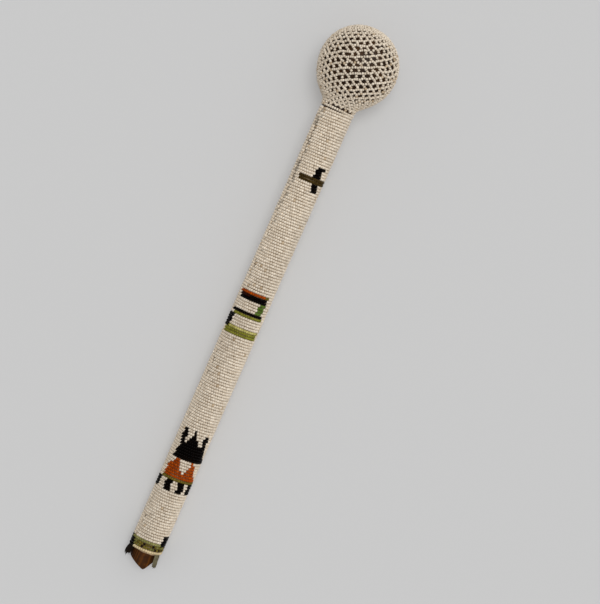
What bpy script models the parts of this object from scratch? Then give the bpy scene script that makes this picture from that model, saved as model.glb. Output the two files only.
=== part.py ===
"""A bead-covered gourd rattle, lying on its side with its butt to -X and its round head to +X.

A wooden stick, whittled to a blunt wedge at the butt, wears a hide sleeve sewn all over with rounds of seed
beads. Its tenon plugs the neck of a dried gourd that holds loose seeds, and a net of beads covers the gourd.
Every piece but the seeds is built upright in the rattle's own axes: local Z runs from butt to crown, local X
to the decorated front, local Y to the right of someone facing it. lay_down() then rests it on the floor.
Metres, +Z up.
"""

import math

import bmesh
import bpy
import numpy as np
from mathutils import Matrix, Vector

MM = 0.001
GAP = 0.3 * MM  # clearance between pieces that touch on the real object

# Stick. Distances along the rattle, called stations, are measured from the tip of the butt.
STICK_RADIUS = 10.25 * MM
SHOULDER = 398.2 * MM
TENON_RADIUS = 8.6 * MM
TENON_END = 411.6 * MM
TENON_CHAMFER = 1.0 * MM
BUTT_RIDGE_SIDE = 5.0 * MM  # the wedge's ridge stands this far to the right of the axis
LONG_CHOP_SLOPE = math.radians(27)
SHORT_CHOP_SLOPE = math.radians(54)
CHOP_SIZE = 60 * MM

# Hide sleeve and its seam, down the left of the front.
BACKING_START = 13.2 * MM
BACKING_THICKNESS = 1.15 * MM
SEAM_ANGLE = math.radians(-55)
SEAM_WIDTH = 1.8 * MM
SEAM_THREAD_RADIUS = 0.4 * MM

# Beadwork on the handle: rounds of beads, each standing on the one below.
BEADS_START = 15.6 * MM
ROW_PITCH = 2.31 * MM
BEAD_SIZE = 2.0 * MM
BEADS_INNER_RADIUS = 12.0 * MM
BEADS_OUTER_RADIUS = BEADS_INNER_RADIUS + BEAD_SIZE
BEAD_SECTIONS = (  # from the butt up: name, rows, material
    ("edge_bead_row", 1, "cream_beads"),
    ("foot_olive_rows", 3, "olive_beads"),
    ("foot_white_rows", 19, "white_beads"),
    ("figure_leg_rows", 4, "black_beads"),
    ("figure_belt_row", 1, "olive_beads"),
    ("figure_skirt_rows", 7, "orange_beads"),
    ("figure_crown_rows", 12, "black_beads"),
    ("lower_white_rows", 35, "white_beads"),
    ("key_green_rows", 3, "green_beads"),
    ("key_lower_rows", 4, "white_beads"),
    ("key_olive_row", 1, "olive_beads"),
    ("key_black_row", 1, "black_beads"),
    ("key_upper_rows", 4, "white_beads"),
    ("key_dark_rows", 2, "black_beads"),
    ("key_orange_row", 1, "orange_beads"),
    ("middle_white_rows", 39, "white_beads"),
    ("cross_lower_rows", 3, "black_beads"),
    ("cross_bar_rows", 2, "olive_beads"),
    ("cross_upper_rows", 4, "black_beads"),
    ("neck_white_rows", 20, "white_beads"),
)

# Loose ends of the sleeve at the butt: angles are from the front, positive to the right.
TAB_TOP = BEADS_START - GAP
TAB_INNER_RADIUS = 12.0 * MM
BLACK_TAB_START = 6.6 * MM
BLACK_TAB_ANGLES = (math.radians(-128), math.radians(-46))
BLACK_TAB_THICKNESS = 2.0 * MM
GREEN_TAB_START = 4.4 * MM
GREEN_TAB_ANGLES = (math.radians(50), math.radians(108))
GREEN_TAB_THICKNESS = 1.4 * MM

# Head: the net's outer surface is round above the equator, drawn out below it, and flows into the neck.
HEAD_CENTRE = 438.9 * MM
HEAD_RADIUS = 32.3 * MM
HEAD_DEPTH = 35.6 * MM
NECK_RADIUS = 14.3 * MM
NECK_BLEND = 4.8
NET_START = 401.2 * MM
NET_THICKNESS = 2.0 * MM
NET_CROWN_RADIUS = 5.2 * MM
CROWN_RING_RADIUS = 3.4 * MM
CROWN_RING_THICKNESS = 1.1 * MM
GOURD_START = 400.0 * MM
GOURD_WALL = 3.0 * MM
BINDING_STATION = 400.1 * MM
BINDING_THICKNESS = 0.65 * MM
PEG_STATION = 404.6 * MM
PEG_RADIUS = 1.2 * MM

# Loose seeds, each resting on the gourd's lower wall: count and distance from the middle of each ring.
SEED_RINGS = ((4, 4.4 * MM), (8, 10.6 * MM))
SEED_RADIUS = 2.5 * MM

HANDLE_FACETS = 32
HEAD_FACETS = 40
PROFILE_STEPS = 12

MATERIALS = {  # red, green and blue out of 255, then roughness
    "white_beads": ((196, 184, 166), 0.35),
    "cream_beads": ((190, 172, 135), 0.35),
    "net_beads": ((195, 179, 158), 0.4),
    "black_beads": ((12, 5, 4), 0.3),
    "olive_beads": ((90, 75, 28), 0.35),
    "green_beads": ((112, 110, 36), 0.35),
    "orange_beads": ((146, 70, 24), 0.35),
    "wood": ((76, 50, 24), 0.7),
    "hide": ((62, 42, 26), 0.85),
    "dark_cloth": ((32, 25, 18), 0.9),
    "green_cloth": ((112, 106, 82), 0.9),
    "thread": ((48, 34, 22), 0.8),
    "gourd": ((58, 36, 20), 0.6),
    "leather": ((70, 46, 28), 0.8),
    "seed": ((60, 38, 22), 0.5),
}


def clear_scene():
    for obj in list(bpy.data.objects):
        bpy.data.objects.remove(obj, do_unlink=True)


def make_collection(name):
    collection = bpy.data.collections.new(name)
    bpy.context.scene.collection.children.link(collection)
    return collection


def linear(channel):
    """An sRGB channel out of 255 as a linear value."""
    value = channel / 255
    return value / 12.92 if value <= 0.04045 else ((value + 0.055) / 1.055) ** 2.4


def make_material(name, colour, roughness):
    material = bpy.data.materials.new(name)
    material.use_nodes = True
    shader = material.node_tree.nodes["Principled BSDF"]
    shader.inputs["Base Color"].default_value = (*(linear(c) for c in colour), 1)
    shader.inputs["Roughness"].default_value = roughness
    shader.inputs["Metallic"].default_value = 0
    return material


def add_piece(name, data, material, parent=None, turn=0.0):
    """An object for a mesh or curve, turned about the rattle's axis so that a flat facet faces the floor."""
    obj = bpy.data.objects.new(name, data)
    obj.rotation_euler.z = turn
    obj.parent = parent
    data.materials.append(materials[material])
    parts.objects.link(obj)
    return obj


def smooth_rounds(mesh):
    mesh.shade_smooth()
    mesh.set_sharp_from_angle(angle=math.radians(40))


def turned(name, outline, material, facets, closed=False):
    """Revolves (radius, station) points about the rattle's axis.

    The outline runs down the outer side. An open one starts and ends on the axis.
    """
    mesh = bpy.data.meshes.new(name)
    edges = [(i, i + 1) for i in range(len(outline) - 1)]
    if closed:
        edges.append((len(outline) - 1, 0))
    mesh.from_pydata([(radius, 0, station) for radius, station in outline], edges, [])
    obj = add_piece(name, mesh, material, rattle, turn=math.pi / facets)
    screw = obj.modifiers.new("turn", "SCREW")
    screw.angle = 2 * math.pi
    screw.steps = facets
    screw.render_steps = facets
    screw.use_merge_vertices = True
    screw.merge_threshold = 0.01 * MM
    return obj


def tube(name, inner, outer, start, end, material):
    outline = [(outer, end), (outer, start), (inner, start), (inner, end)]
    return turned(name, outline, material, HANDLE_FACETS, closed=True)


def round_ring(name, radius, station, thickness, material):
    """A ring of round section."""
    angles = [-2 * math.pi * i / 8 for i in range(8)]
    outline = [(radius + thickness * math.cos(a), station + thickness * math.sin(a)) for a in angles]
    return turned(name, outline, material, HANDLE_FACETS, closed=True)


def wrapped_sheet(name, radius, thickness, stations, angles, material):
    """A sheet bent round the axis: its inner face has the given radius, and it grows outwards."""
    segments = max(4, round(abs(angles[1] - angles[0]) / (2 * math.pi) * HANDLE_FACETS))
    around = np.linspace(angles[0], angles[1], segments + 1)
    verts = [(radius * math.cos(a), radius * math.sin(a), s) for s in stations for a in around]
    row = segments + 1
    faces = [(i, i + 1, i + 1 + row, i + row) for i in range(segments)]
    mesh = bpy.data.meshes.new(name)
    mesh.from_pydata(verts, [], faces)
    obj = add_piece(name, mesh, material, rattle)
    solidify = obj.modifiers.new("thickness", "SOLIDIFY")
    solidify.thickness = thickness
    solidify.offset = 1
    return obj


def rod(name, radius, start, end, sides, material):
    """A straight round rod between two local points, flat at both ends."""
    start, end = Vector(start), Vector(end)
    bm = bmesh.new()
    bmesh.ops.create_cone(
        bm, cap_ends=True, segments=sides, radius1=radius, radius2=radius, depth=(end - start).length
    )
    mesh = bpy.data.meshes.new(name)
    bm.to_mesh(mesh)
    bm.free()
    smooth_rounds(mesh)
    obj = add_piece(name, mesh, material, rattle)
    obj.location = (start + end) / 2
    obj.rotation_mode = "QUATERNION"
    obj.rotation_quaternion = (end - start).to_track_quat("Z", "Y")
    return obj


def cut(obj, cutter):
    """Takes the cutter out of the piece, and moves the cutter to the cutters' collection."""
    boolean = obj.modifiers.new(cutter.name, "BOOLEAN")
    boolean.operation = "DIFFERENCE"
    boolean.object = cutter
    cutter.hide_render = True
    cutter.display_type = "WIRE"
    if cutter.name in parts.objects:
        parts.objects.unlink(cutter)
        cutters.objects.link(cutter)


def head_radius(station):
    """Outer radius of the net: an ellipse about the head's centre, blended into the neck by a power mean."""
    depth = np.where(station > HEAD_CENTRE, HEAD_RADIUS, HEAD_DEPTH)
    ball = HEAD_RADIUS * np.sqrt(np.clip(1 - ((station - HEAD_CENTRE) / depth) ** 2, 0, 1))
    neck = np.where(station > HEAD_CENTRE, 0, NECK_RADIUS)
    return (ball**NECK_BLEND + neck**NECK_BLEND) ** (1 / NECK_BLEND)


def head_outline(inset, start, top_radius=0.0):
    """(radius, station) points down the head at a constant depth under the net's outer surface.

    They run from top_radius near the crown to the start station at the neck.
    """
    radius = HEAD_RADIUS - inset
    crown = math.acos(top_radius / radius)
    angles = np.linspace(crown, 0, PROFILE_STEPS)
    upper = np.column_stack([radius * np.cos(angles), HEAD_CENTRE + radius * np.sin(angles)])
    upper[0, 0] = top_radius
    # Below the equator the surface is sampled and each point is moved in along its normal.
    stations = HEAD_CENTRE - HEAD_DEPTH * np.sin(np.linspace(0, math.radians(75), 2 * PROFILE_STEPS))
    stations = np.append(stations, np.linspace(stations[-1] - MM, start - 4 * MM, 4))
    radii = head_radius(stations)
    slope = np.gradient(radii, stations)
    length = np.hypot(1, slope)
    moved = np.column_stack([radii - inset / length, stations + inset * slope / length])
    lower = moved[(moved[:, 1] > start + MM) & (moved[:, 1] < HEAD_CENTRE - MM)][::2]
    foot = np.interp(start, moved[::-1, 1], moved[::-1, 0])
    return [*map(tuple, upper), *map(tuple, lower), (foot, start)]


def shell(name, outer, inner, material):
    """A turned wall between two outlines that both run down from the crown."""
    on_axis = outer[0][0] == 0
    return turned(name, outer + inner[::-1], material, HEAD_FACETS, closed=not on_axis)


def make_stick():
    """The stick: a round pole with a tenon at the head end and two flat chops at the butt."""
    outline = [
        (0, TENON_END),
        (TENON_RADIUS - TENON_CHAMFER, TENON_END),
        (TENON_RADIUS, TENON_END - TENON_CHAMFER),
        (TENON_RADIUS, SHOULDER),
        (STICK_RADIUS, SHOULDER),
        (STICK_RADIUS, -MM),
        (0, -MM),
    ]
    stick = turned("stick", outline, "wood", HANDLE_FACETS)
    ridge = Vector((0, BUTT_RIDGE_SIDE, 0))
    for name, slope in (("long_chop_cutter", LONG_CHOP_SLOPE), ("short_chop_cutter", -SHORT_CHOP_SLOPE)):
        normal = Vector((0, -math.sin(slope), -math.cos(slope)))
        mesh = bpy.data.meshes.new(name)
        bm = bmesh.new()
        bmesh.ops.create_cube(bm, size=CHOP_SIZE)
        bm.to_mesh(mesh)
        bm.free()
        cutter = add_piece(name, mesh, "wood", rattle)
        cutter.location = ridge + normal * CHOP_SIZE / 2
        cutter.rotation_mode = "QUATERNION"
        cutter.rotation_quaternion = normal.to_track_quat("Z", "Y")
        cut(stick, cutter)
    return stick


def make_sleeve():
    """The hide sleeve with its seam thread, the rounds of beads sewn on it, and its loose ends."""
    inner = STICK_RADIUS + GAP
    half_seam = SEAM_WIDTH / 2 / (inner + BACKING_THICKNESS / 2)
    angles = (SEAM_ANGLE + half_seam, SEAM_ANGLE + 2 * math.pi - half_seam)
    wrapped_sheet("backing_sleeve", inner, BACKING_THICKNESS, (BACKING_START, SHOULDER), angles, "hide")
    thread_radius = inner + BACKING_THICKNESS / 2
    side = (thread_radius * math.cos(SEAM_ANGLE), thread_radius * math.sin(SEAM_ANGLE))
    thread_ends = (*side, BACKING_START + MM), (*side, SHOULDER - MM)
    rod("seam_thread", SEAM_THREAD_RADIUS, *thread_ends, 8, "thread")
    start = BEADS_START
    for name, rows, material in BEAD_SECTIONS:
        end = start + rows * ROW_PITCH
        tube(name, BEADS_INNER_RADIUS, BEADS_OUTER_RADIUS, start + GAP / 2, end - GAP / 2, material)
        start = end
    black = (BLACK_TAB_START, TAB_TOP)
    wrapped_sheet(
        "butt_black_tab", TAB_INNER_RADIUS, BLACK_TAB_THICKNESS, black, BLACK_TAB_ANGLES, "dark_cloth"
    )
    green = (GREEN_TAB_START, TAB_TOP)
    wrapped_sheet(
        "butt_green_tab", TAB_INNER_RADIUS, GREEN_TAB_THICKNESS, green, GREEN_TAB_ANGLES, "green_cloth"
    )


def make_neck(stick, gourd):
    """What holds the gourd on the stick: a washer on the shoulder, a cross peg and a thread binding."""
    washer_outer = STICK_RADIUS + BACKING_THICKNESS
    tube("neck_washer", TENON_RADIUS + GAP, washer_outer, SHOULDER + GAP, GOURD_START - GAP, "leather")
    binding_radius = BEADS_INNER_RADIUS + GAP + BINDING_THICKNESS
    round_ring("neck_binding", binding_radius, BINDING_STATION, BINDING_THICKNESS, "thread")
    reach = NECK_RADIUS - NET_THICKNESS - 2 * GAP
    ends = ((0, -reach, PEG_STATION), (0, reach, PEG_STATION))
    rod("neck_peg", PEG_RADIUS, *ends, 12, "wood")
    long_ends = ((0, -2 * reach, PEG_STATION), (0, 2 * reach, PEG_STATION))
    cutter = rod("peg_hole_cutter", PEG_RADIUS + GAP, *long_ends, 12, "wood")
    cut(stick, cutter)
    cut(gourd, cutter)


def make_head():
    """The hollow gourd and the bead net over it, in a lower and an upper half and a ring at the crown."""
    under_net = NET_THICKNESS + GAP
    gourd = shell(
        "gourd_shell",
        head_outline(under_net, GOURD_START),
        head_outline(under_net + GOURD_WALL, GOURD_START),
        "gourd",
    )
    outer = head_outline(0, NET_START, NET_CROWN_RADIUS)
    inner = head_outline(NET_THICKNESS, NET_START, NET_CROWN_RADIUS)
    equator = PROFILE_STEPS - 1
    upper, lower = [], []
    for points in (outer, inner):
        radius = points[equator][0]
        upper.append(points[:equator] + [(radius, HEAD_CENTRE + GAP / 2)])
        lower.append([(radius, HEAD_CENTRE - GAP / 2)] + points[equator + 1 :])
    shell("upper_net", *upper, "net_beads")
    shell("lower_net", *lower, "net_beads")
    ring_station = HEAD_CENTRE + HEAD_RADIUS - CROWN_RING_THICKNESS
    round_ring("crown_ring", CROWN_RING_RADIUS, ring_station, CROWN_RING_THICKNESS, "net_beads")
    return gourd


def local_points():
    """Every corner of the finished pieces in the rattle's own axes."""
    bpy.context.view_layer.update()
    graph = bpy.context.evaluated_depsgraph_get()
    found = []
    for obj in parts.objects:
        evaluated = obj.evaluated_get(graph)
        mesh = evaluated.to_mesh()
        points = np.empty(len(mesh.vertices) * 3)
        mesh.vertices.foreach_get("co", points)
        evaluated.to_mesh_clear()
        matrix = np.array(obj.matrix_world)
        found.append(points.reshape(-1, 3) @ matrix[:3, :3].T + matrix[:3, 3])
    return np.concatenate(found)


def lying_axes(tilt):
    """Columns are the rattle's own X, Y and Z when its axis climbs by the tilt towards the head."""
    return np.array(
        [[-math.sin(tilt), 0, math.cos(tilt)], [0, -1, 0], [math.cos(tilt), 0, math.sin(tilt)]]
    )


def lay_down():
    """Rests the rattle on the floor, on its head and its lowest round of beads, centred over the origin."""
    points = local_points()
    low, high = 0.0, math.radians(10)
    for _ in range(40):
        tilt = (low + high) / 2
        heights = (points @ lying_axes(tilt))[:, 2]
        at_head = points[:, 2] > HEAD_CENTRE / 2
        if heights[at_head].min() < heights[~at_head].min():
            low = tilt
        else:
            high = tilt
    laid = points @ lying_axes(tilt)
    lowest, highest = laid.min(axis=0), laid.max(axis=0)
    rattle.rotation_euler = Matrix(lying_axes(tilt).T.tolist()).to_euler()
    rattle.location = (-(lowest[0] + highest[0]) / 2, -(lowest[1] + highest[1]) / 2, -lowest[2])
    bpy.context.view_layer.update()


def make_seeds():
    """Loose seeds heaped in the lowest part of the hollow, apart from each other and clear of the wall."""
    centre = rattle.matrix_world @ Vector((0, 0, HEAD_CENTRE))
    hollow = HEAD_RADIUS - NET_THICKNESS - GAP - GOURD_WALL
    facet_loss = hollow * (1 - math.cos(math.pi / HEAD_FACETS))
    reach = hollow - 2 * facet_loss - GAP - SEED_RADIUS
    mesh = bpy.data.meshes.new("seed")
    bm = bmesh.new()
    bmesh.ops.create_uvsphere(bm, u_segments=10, v_segments=7, radius=SEED_RADIUS)
    bmesh.ops.scale(bm, vec=(1, 0.86, 0.8), verts=bm.verts)
    bm.to_mesh(mesh)
    bm.free()
    smooth_rounds(mesh)
    mesh.materials.append(materials["seed"])
    number = 0
    for ring, (count, distance) in enumerate(SEED_RINGS):
        for i in range(count):
            number += 1
            angle = 2 * math.pi * (i + 0.5 * ring + 0.25) / count
            seed = bpy.data.objects.new(f"seed_{number:02d}", mesh)
            drop = math.sqrt(reach**2 - distance**2)
            offset = Vector((distance * math.cos(angle), distance * math.sin(angle), -drop))
            seed.location = centre + offset
            seed.rotation_euler = (0, 0, 2.4 * number)
            parts.objects.link(seed)


clear_scene()
parts = make_collection("beaded_gourd_rattle")
cutters = make_collection("cutters")
materials = {name: make_material(name, *values) for name, values in MATERIALS.items()}
rattle = bpy.data.objects.new("rattle_axis", None)
bpy.context.scene.collection.objects.link(rattle)

whole_stick = make_stick()
make_sleeve()
make_neck(whole_stick, make_head())
lay_down()
make_seeds()
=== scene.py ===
import math

import bpy
import numpy as np
from mathutils import Matrix, Vector


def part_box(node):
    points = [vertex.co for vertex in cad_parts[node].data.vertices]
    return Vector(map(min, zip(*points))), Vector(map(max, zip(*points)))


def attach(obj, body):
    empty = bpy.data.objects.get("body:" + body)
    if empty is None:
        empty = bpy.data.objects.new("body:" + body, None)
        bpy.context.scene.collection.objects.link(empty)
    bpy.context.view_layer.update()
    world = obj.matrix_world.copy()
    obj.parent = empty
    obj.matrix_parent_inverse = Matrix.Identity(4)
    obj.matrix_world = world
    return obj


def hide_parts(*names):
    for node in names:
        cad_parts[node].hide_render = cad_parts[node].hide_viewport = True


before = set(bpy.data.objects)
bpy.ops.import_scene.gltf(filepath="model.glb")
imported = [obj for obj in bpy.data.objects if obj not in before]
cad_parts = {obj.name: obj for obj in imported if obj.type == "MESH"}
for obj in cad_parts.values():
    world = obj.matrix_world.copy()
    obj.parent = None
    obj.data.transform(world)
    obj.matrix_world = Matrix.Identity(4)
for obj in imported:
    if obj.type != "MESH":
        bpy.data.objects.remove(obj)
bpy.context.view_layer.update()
print("frame loaded:", len(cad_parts), "nodes")

bpy.context.scene.view_settings.view_transform = "Standard"
bpy.context.scene.view_settings.look = "None"

mm = 0.001

# Rounds of beads in each length of the handle, from the butt up. Each length is one CAD node.
lengths = {
    "edge_bead_row": 1,
    "foot_olive_rows": 3,
    "foot_white_rows": 19,
    "figure_leg_rows": 4,
    "figure_belt_row": 1,
    "figure_skirt_rows": 7,
    "figure_crown_rows": 12,
    "lower_white_rows": 35,
    "key_green_rows": 3,
    "key_lower_rows": 4,
    "key_olive_row": 1,
    "key_black_row": 1,
    "key_upper_rows": 4,
    "key_dark_rows": 2,
    "key_orange_row": 1,
    "middle_white_rows": 39,
    "cross_lower_rows": 3,
    "cross_bar_rows": 2,
    "cross_upper_rows": 4,
    "neck_white_rows": 20,
}
rounds = sum(lengths.values())
firstRound = dict(zip(lengths, np.cumsum([0, *lengths.values()])))


def middleOf(node):
    low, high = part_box(node)
    return (np.array(low) + np.array(high)) / 2


# The rattle's own directions: the middles of the first and last lengths of beads lie on the stick's axis.
buttRound, neckRounds = middleOf("edge_bead_row"), middleOf("neck_white_rows")
apart = rounds - lengths["neck_white_rows"] / 2 - 0.5
roundPitch = np.linalg.norm(neckRounds - buttRound) / apart
alongStick = (neckRounds - buttRound) / (roundPitch * apart)
toRight = np.array([0.0, -1.0, 0.0])
toFront = np.cross(toRight, alongStick)
beadsStart = 15.6 * mm  # from the tip of the butt to the first round
buttTip = buttRound - alongStick * (beadsStart + roundPitch / 2)
ownAxes = np.array([toFront, toRight, alongStick])


def placed(points):
    # Points (towards the front, to the right, distance from the tip of the butt) put where the rattle lies.
    return buttTip + points @ ownAxes


def stationOf(node):
    # How far along the stick a CAD node's middle lies.
    return (middleOf(node) - buttTip) @ alongStick


def onStick(angle, radius, station):
    # Angle from the front towards the right, distance from the axis, distance from the tip of the butt.
    angle, radius, station = np.broadcast_arrays(angle, radius, station)
    return np.stack([radius * np.cos(angle), radius * np.sin(angle), station], axis=-1)


def aroundStick(angle):
    # The direction round the stick at each angle.
    return np.stack([-np.sin(angle), np.cos(angle), np.zeros(len(angle))], axis=1)


def fullTurn(count):
    # Evenly spaced angles, once round.
    return np.arange(count) * 2 * np.pi / count


def unit(vectors):
    return vectors / np.linalg.norm(vectors, axis=-1, keepdims=True)


def linear(colour):
    # Screen colours out of 255 as linear values.
    share = np.asarray(colour, float) / 255
    return np.where(share <= 0.04045, share / 12.92, ((share + 0.055) / 1.055) ** 2.4)


def unevenness(points, seed):
    # A sum of sines in random directions, about one radian for each unit of the points given.
    waves = 9
    chance = np.random.default_rng(seed)
    directions = chance.normal(size=(points.shape[-1], waves))
    phases = chance.uniform(0, 2 * np.pi, waves)
    return np.sin(points @ directions + phases).sum(axis=-1) / np.sqrt(waves)


def stretched(wave, power):
    # A wave between -1 and 1 made squarer by a power below 1.
    return np.sign(wave) * np.abs(wave) ** power


def ramp(value, start, end):
    # A smooth step from 0 at the start to 1 at the end.
    share = np.clip((value - start) / (end - start), 0, 1)
    return share * share * (3 - 2 * share)


def gridFaces(rows, columns, closedRows=False, closedColumns=True):
    # Quads between neighbours on a grid, which wraps round where it is closed.
    r = np.arange(rows if closedRows else rows - 1)[:, None]
    c = np.arange(columns if closedColumns else columns - 1)[None, :]
    r2, c2 = (r + 1) % rows, (c + 1) % columns
    corners = [r * columns + c, r * columns + c2, r2 * columns + c2, r2 * columns + c]
    return np.stack(corners, axis=-1).reshape(-1, 4)


def signedVolume(points, faceSets):
    # Six times the volume behind every face, as seen from the first point.
    total = 0.0
    for faces in faceSets:
        corners = points[faces] - points[0]
        for k in range(1, faces.shape[1] - 1):
            total += np.einsum("ij,ij->", corners[:, 0], np.cross(corners[:, k], corners[:, k + 1]))
    return total


def addObject(name, data):
    made = bpy.data.objects.new(name, data)
    bpy.context.scene.collection.objects.link(made)
    return made


def makePiece(name, shape, material, body="rattle", replaces=(), values=None, uv=None, sharp=180):
    # A mesh from a shape's points and faces, with its outside outwards, riding on its body. A shape that
    # rides on the rattle is given in the rattle's own directions, and one on a seed's body where it lies.
    points, faceSets = shape
    points = points.reshape(-1, 3)
    if body == "rattle":
        points = placed(points)
    if signedVolume(points, faceSets) < 0:
        faceSets = [faces[:, ::-1] for faces in faceSets]
    corners = np.concatenate([faces.ravel() for faces in faceSets])
    widths = np.concatenate([np.full(len(faces), faces.shape[1]) for faces in faceSets])
    mesh = bpy.data.meshes.new(name)
    mesh.vertices.add(len(points))
    mesh.vertices.foreach_set("co", points.ravel())
    mesh.loops.add(len(corners))
    mesh.loops.foreach_set("vertex_index", corners)
    mesh.polygons.add(len(widths))
    mesh.polygons.foreach_set("loop_start", np.concatenate([[0], np.cumsum(widths)[:-1]]))
    mesh.polygons.foreach_set("use_smooth", np.ones(len(widths), bool))
    for label, data in (values or {}).items():
        data = np.asarray(data, float)
        if data.ndim == 1:
            mesh.attributes.new(label, "FLOAT", "POINT").data.foreach_set("value", data)
        else:
            data = np.column_stack([data, np.ones(len(data))])
            mesh.attributes.new(label, "FLOAT_COLOR", "POINT").data.foreach_set("color", data.ravel())
    if uv is not None:
        mesh.uv_layers.new(name="flatCloth").data.foreach_set("uv", uv.reshape(-1, 2)[corners].ravel())
    mesh.update(calc_edges=True)
    if sharp < 180:
        mesh.set_sharp_from_angle(angle=math.radians(sharp))
    mesh.materials.append(material)
    piece = addObject(name, mesh)
    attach(piece, body)
    if replaces:
        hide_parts(*replaces)
    return piece


def turnedSurface(outline, columns, bend=None):
    # Carries an outline of (radius, station) round the axis; its two ends lie on the axis and close as poles.
    grid = onStick(fullTurn(columns)[None, :], outline[1:-1, :1], outline[1:-1, 1:])
    if bend is not None:
        grid = bend(grid)
    last = grid.shape[0] * columns
    ends = onStick(0.0, outline[[0, -1], 0], outline[[0, -1], 1])
    points = np.concatenate([grid.reshape(-1, 3), ends])
    ring = np.arange(columns)
    after = np.roll(ring, -1)
    first = np.stack([np.full(columns, last), after, ring], axis=1)
    final = np.stack([np.full(columns, last + 1), last - columns + ring, last - columns + after], axis=1)
    return points, [gridFaces(grid.shape[0], columns), np.concatenate([first, final])]


def tubes(paths, outward, radius, sides):
    # A round section carried along each path, with its two ends closed flat. Paths: (tubes, points, 3).
    forward = unit(np.gradient(paths, axis=1))
    side = unit(np.cross(forward, outward))
    over = np.cross(side, forward)
    turn = fullTurn(sides)
    wide = np.broadcast_to(radius, paths.shape[:2])[..., None, None]
    section = side[:, :, None] * np.cos(turn)[:, None] + over[:, :, None] * np.sin(turn)[:, None]
    points = paths[:, :, None] + wide * section
    count, steps = paths.shape[:2]
    starts = np.arange(count)[:, None, None] * steps * sides
    walls = (gridFaces(steps, sides)[None] + starts).reshape(-1, 4)
    cap = np.arange(sides)
    near = starts[:, 0] + cap[None, ::-1]
    far = starts[:, 0] + (steps - 1) * sides + cap[None]
    return points.reshape(-1, 3), [walls, np.concatenate([near, far])]


def windingThread(angle, radius, station, thickness, sides):
    # One thread that winds round the stick or across it.
    return tubes(onStick(angle, radius, station)[None], onStick(angle, 1.0, 0.0)[None], thickness, sides)


def thickSheet(middle, outward, thickness):
    # Two skins either side of a grid of points, joined along the grid's edge. Closed all round.
    rows, columns = middle.shape[:2]
    half = np.asarray(thickness)[..., None] / 2 * outward
    points = np.concatenate([(middle + half).reshape(-1, 3), (middle - half).reshape(-1, 3)])
    skin = gridFaces(rows, columns, closedColumns=False)
    count = rows * columns
    index = np.arange(count).reshape(rows, columns)
    edge = np.concatenate([index[0], index[1:, -1], index[-1, -2::-1], index[-2:0:-1, 0]])
    after = np.roll(edge, -1)
    rim = np.stack([after, edge, edge + count, after + count], axis=1)
    return points, [skin, skin[:, ::-1] + count, rim]


print("shader groups")


def fill(tree, node, sockets):
    # Sockets are linked to other nodes' outputs, or set to plain values.
    for label, value in sockets.items():
        if isinstance(value, bpy.types.NodeSocket):
            tree.links.new(value, node.inputs[label])
        else:
            node.inputs[label].default_value = value
    return node.outputs


def addNode(tree, kind, sockets, **settings):
    made = tree.nodes.new("ShaderNode" + kind)
    for label, value in settings.items():
        setattr(made, label, value)
    return fill(tree, made, sockets)


def calculate(tree, how, *values):
    return addNode(tree, "Math", dict(enumerate(values)), operation=how)[0]


def mixColours(tree, share, first, second, how="MIX"):
    return addNode(tree, "Mix", {0: share, 6: first, 7: second}, data_type="RGBA", blend_type=how)[2]


def spread(tree, value, lowest, highest, start=0.0, end=1.0):
    # A value between lowest and highest stretched to run from start to end.
    limits = {"From Min": lowest, "From Max": highest, "To Min": start, "To Max": end}
    return addNode(tree, "MapRange", {"Value": value, **limits})[0]


def noise(tree, place, scale, detail):
    return addNode(tree, "TexNoise", {"Vector": place, "Scale": scale, "Detail": detail})["Fac"]


def cells(tree, place, scale):
    return addNode(tree, "TexVoronoi", {"Vector": place, "Scale": scale})["Distance"]


def attribute(tree, name, output="Fac"):
    return addNode(tree, "Attribute", {}, attribute_name=name)[output]


def rgba(colour):
    return (*linear(colour), 1.0)


def newGroup(name, inputs, outputs):
    group = bpy.data.node_groups.new(name, "ShaderNodeTree")
    for label, (kind, value) in inputs.items():
        socket = group.interface.new_socket(name=label, in_out="INPUT", socket_type="NodeSocket" + kind)
        if value is not None:
            socket.default_value = value
    for label, kind in outputs.items():
        group.interface.new_socket(name=label, in_out="OUTPUT", socket_type="NodeSocket" + kind)
    return group, group.nodes.new("NodeGroupInput").outputs, group.nodes.new("NodeGroupOutput")


def makeGrimeGroup():
    # Grime lies in soft patches, and the grime colour is also laid wherever the cover value says (on the
    # beads, dust and painted shade low between them); it turns the colour towards its own.
    inputs = {
        "Colour": ("Color", None),
        "Grime": ("Color", None),
        "Cover": ("Float", 0.0),
        "Patches": ("Float", 0.3),
        "Scale": ("Float", 120.0),
        "Vector": ("Vector", None),
    }
    group, given, result = newGroup("grime", inputs, {"Colour": "Color", "Mask": "Float"})
    patch = spread(group, noise(group, given["Vector"], given["Scale"], 4.0), 0.42, 0.72)
    patchy = calculate(group, "MULTIPLY", patch, given["Patches"])
    both = addNode(group, "Math", {0: patchy, 1: given["Cover"]}, operation="ADD", use_clamp=True)[0]
    mixed = mixColours(group, both, given["Colour"], given["Grime"])
    fill(group, result, {"Colour": mixed, "Mask": both})
    return group


def makeFibreGroup():
    # Long streaks: two noises on coordinates that are squeezed along the third axis.
    inputs = {"Vector": ("Vector", None), "Scale": ("Float", 400.0), "Stretch": ("Float", 0.05)}
    group, given, result = newGroup("fibres", inputs, {"Streak": "Float", "Height": "Float"})
    squeeze = addNode(group, "CombineXYZ", {"X": 1.0, "Y": 1.0, "Z": given["Stretch"]})[0]
    long = addNode(group, "VectorMath", {0: given["Vector"], 1: squeeze}, operation="MULTIPLY")[0]
    coarse = noise(group, long, given["Scale"], 5.0)
    fine = noise(group, long, calculate(group, "MULTIPLY", given["Scale"], 4.3), 3.0)
    height = calculate(group, "MULTIPLY_ADD", fine, 0.5, coarse)
    fill(group, result, {"Streak": spread(group, coarse, 0.32, 0.68), "Height": height})
    return group


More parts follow.
